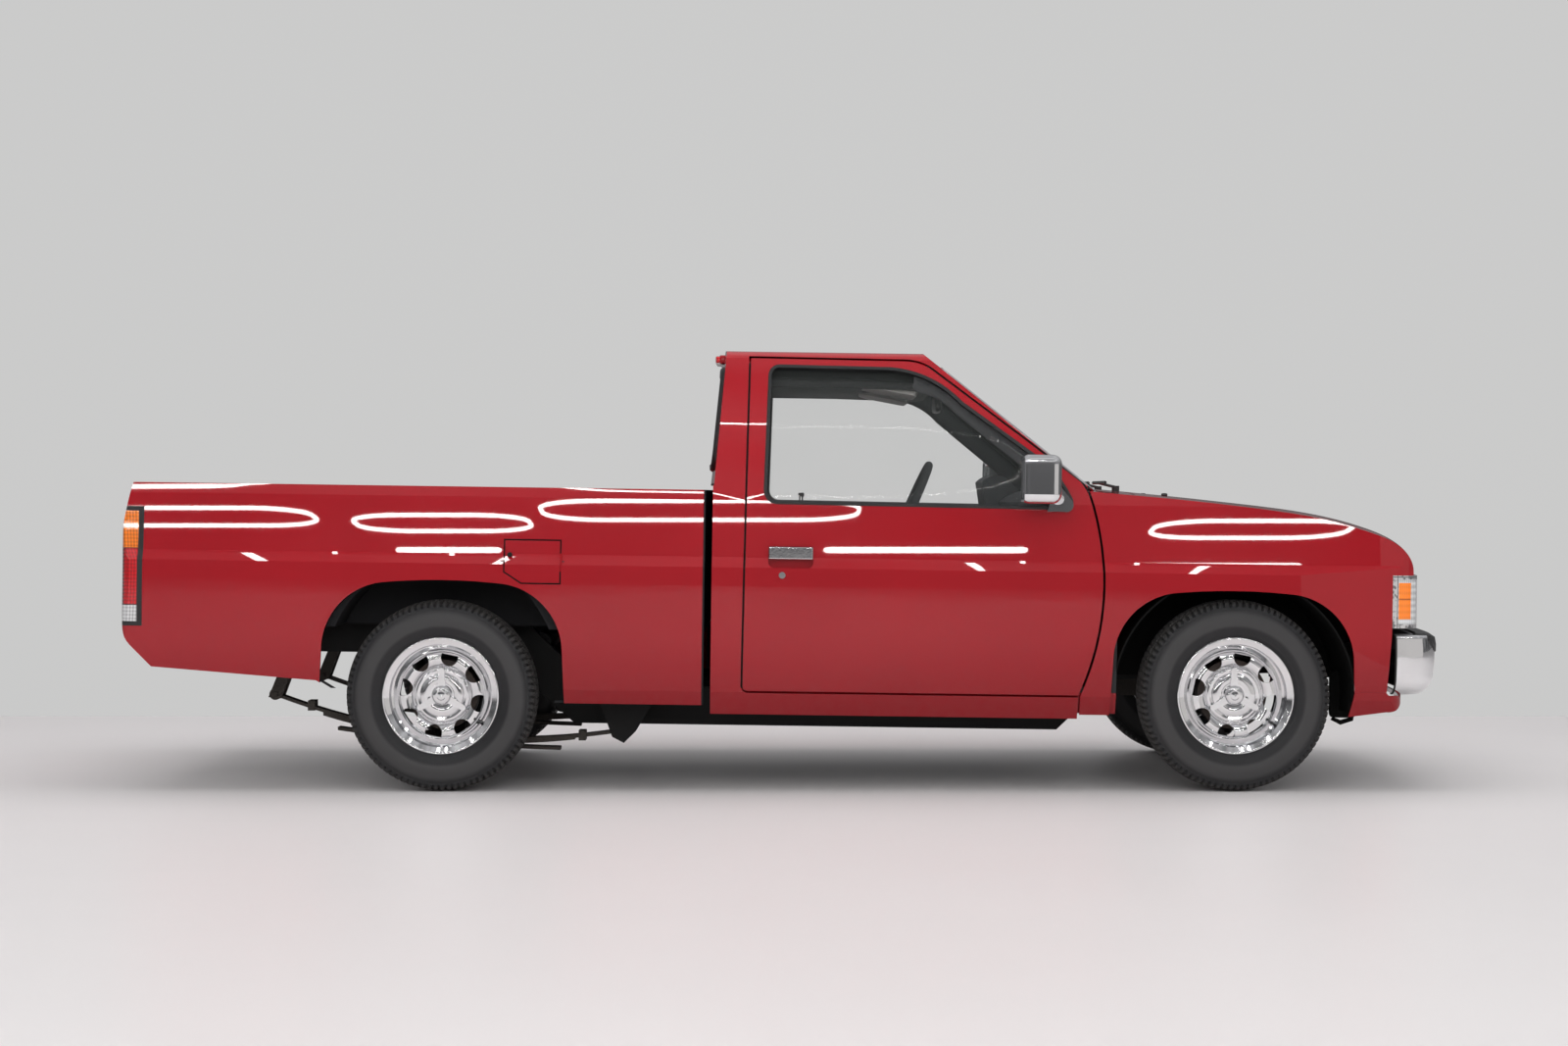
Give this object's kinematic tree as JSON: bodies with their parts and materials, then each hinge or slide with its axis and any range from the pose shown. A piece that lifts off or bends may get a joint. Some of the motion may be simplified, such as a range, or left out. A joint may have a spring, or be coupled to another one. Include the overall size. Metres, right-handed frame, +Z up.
{
  "type": "pickup truck",
  "caption": "Compact two-door pickup truck with a short open load bed, chrome front bumper and slotted chrome wheels.",
  "frame": {"origin": "On the ground under the middle of the overall length and width, with the wheels standing on it.", "axes": "+X points forward out of the front bumper, +Y to the truck's left and +Z up."},
  "size_m": [4.4325, 2.016, 1.4909],
  "materials": {
    "frame": "satin black chassis paint",
    "cab_shell": "gloss deep red",
    "windshield": "faintly green glass",
    "rear_window": "faintly green glass",
    "door": "gloss deep red",
    "door_glass": "faintly green glass",
    "mirror_and_handle": "bright chrome",
    "hood": "gloss deep red",
    "front_fenders": "gloss deep red",
    "inner_wings": "satin black",
    "front_valance": "gloss deep red",
    "front_bumper": "bright chrome",
    "grille": "black plastic",
    "front_lamps": "clear and amber lens",
    "wipers": "satin black",
    "dashboard": "grey grained plastic",
    "steering_wheel": "black plastic",
    "bench_seat": "grey cloth",
    "bed": "gloss deep red",
    "tail_lamps": "red, amber and clear lens",
    "tailgate": "gloss deep red",
    "fuel_flap": "gloss deep red",
    "engine": "dull cast metal",
    "exhaust": "weathered steel",
    "fuel_tank": "satin black",
    "rear_axle": "satin black",
    "leaf_springs": "satin black",
    "propeller_shaft": "satin black",
    "control_arms": "satin black",
    "knuckle": "dull cast metal",
    "steering_rod": "dark steel",
    "rim": "bright chrome",
    "tyre": "black rubber"
  },
  "bodies": {
    "truck": {"bed": "bed", "bench_seat": "bench_seat", "cab_shell": "cab_shell", "control_arms": "control_arms", "dashboard": "dashboard", "engine": "engine", "exhaust": "exhaust", "frame": "frame", "front_bumper": "front_bumper", "front_fenders": "front_fenders", "front_lamps": "front_lamps", "front_valance": "front_valance", "fuel_tank": "fuel_tank", "grille": "grille", "inner_wings": "inner_wings", "leaf_springs": "leaf_springs", "propeller_shaft": "propeller_shaft", "rear_axle": "rear_axle", "rear_window": "rear_window", "tail_lamps": "tail_lamps", "windshield": "windshield", "wipers": "wipers"},
    "door_right": {"door_right": "door", "door_glass_right": "door_glass", "mirror_and_handle_right": "mirror_and_handle"},
    "door_left": {"door_left": "door", "door_glass_left": "door_glass", "mirror_and_handle_left": "mirror_and_handle"},
    "hood": {"hood": "hood"},
    "tailgate": {"tailgate": "tailgate"},
    "fuel_flap": {"fuel_flap": "fuel_flap"},
    "steering_wheel": {"steering_wheel": "steering_wheel"},
    "steering_rod": {"steering_rod": "steering_rod"},
    "knuckle_right": {"knuckle_right": "knuckle"},
    "knuckle_left": {"knuckle_left": "knuckle"},
    "wheel_front_right": {"rim_front_right": "rim", "tyre_front_right": "tyre"},
    "wheel_front_left": {"rim_front_left": "rim", "tyre_front_left": "tyre"},
    "wheel_rear_right": {"rim_rear_right": "rim", "tyre_rear_right": "tyre"},
    "wheel_rear_left": {"rim_rear_left": "rim", "tyre_rear_left": "tyre"}
  },
  "joints": [
    {"name": "steering_wheel_turn", "type": "hinge", "parent": "truck", "child": "steering_wheel", "pos_m": [0.47228, 0.35, 0.92538], "axis": [-0.915, 0, 0.4035], "range_deg": [-540, 540]},
    {"name": "knuckle_right_steer", "type": "hinge", "parent": "truck", "child": "knuckle_right", "pos_m": [1.49765, -0.6, 0.319], "axis": [0, 0, 1], "range_deg": [-30.01, 30.01]},
    {"name": "knuckle_left_steer", "type": "hinge", "parent": "truck", "child": "knuckle_left", "pos_m": [1.49765, 0.6, 0.319], "axis": [0, 0, 1], "range_deg": [-30.01, 30.01]},
    {"name": "wheel_front_right_spin", "type": "hinge", "parent": "knuckle_right", "child": "wheel_front_right", "pos_m": [1.49765, -0.697, 0.319], "axis": [0, 1, 0], "continuous": true},
    {"name": "wheel_rear_right_spin", "type": "hinge", "parent": "truck", "child": "wheel_rear_right", "pos_m": [-1.15235, -0.697, 0.319], "axis": [0, 1, 0], "continuous": true},
    {"name": "wheel_front_left_spin", "type": "hinge", "parent": "knuckle_left", "child": "wheel_front_left", "pos_m": [1.49765, 0.697, 0.319], "axis": [0, 1, 0], "continuous": true},
    {"name": "wheel_rear_left_spin", "type": "hinge", "parent": "truck", "child": "wheel_rear_left", "pos_m": [-1.15235, 0.697, 0.319], "axis": [0, 1, 0], "continuous": true},
    {"name": "steering_rod_slide", "type": "slide", "parent": "truck", "child": "steering_rod", "axis": [0, 1, 0], "range_m": [-0.079, 0.079]},
    {"name": "door_right_open", "type": "hinge", "parent": "truck", "child": "door_right", "pos_m": [1.00076, -0.805, 0.66997], "axis": [0.014, 0, 0.9999], "range_deg": [0, 65]},
    {"name": "door_left_open", "type": "hinge", "parent": "truck", "child": "door_left", "pos_m": [1.00076, 0.805, 0.66997], "axis": [-0.014, 0, -0.9999], "range_deg": [0, 65]},
    {"name": "hood_open", "type": "hinge", "parent": "truck", "child": "hood", "pos_m": [1.17041, 0, 1.00124], "axis": [0, -1, 0], "range_deg": [0, 55]},
    {"name": "tailgate_open", "type": "hinge", "parent": "truck", "child": "tailgate", "pos_m": [-2.20148, 0, 0.56767], "axis": [0, -1, 0], "range_deg": [0, 90]},
    {"name": "fuel_flap_open", "type": "hinge", "parent": "truck", "child": "fuel_flap", "pos_m": [-0.75009, -0.823, 0.76443], "axis": [0.014, 0, 0.9999], "range_deg": [0, 100]}
  ],
  "couplings": [
    {"joint": "knuckle_right_steer", "follows": "steering_wheel_turn", "ratio": 0.055556},
    {"joint": "knuckle_left_steer", "follows": "steering_wheel_turn", "ratio": 0.055556},
    {"joint": "steering_rod_slide", "follows": "steering_wheel_turn", "m_per_rad": -0.008333}
  ]
}
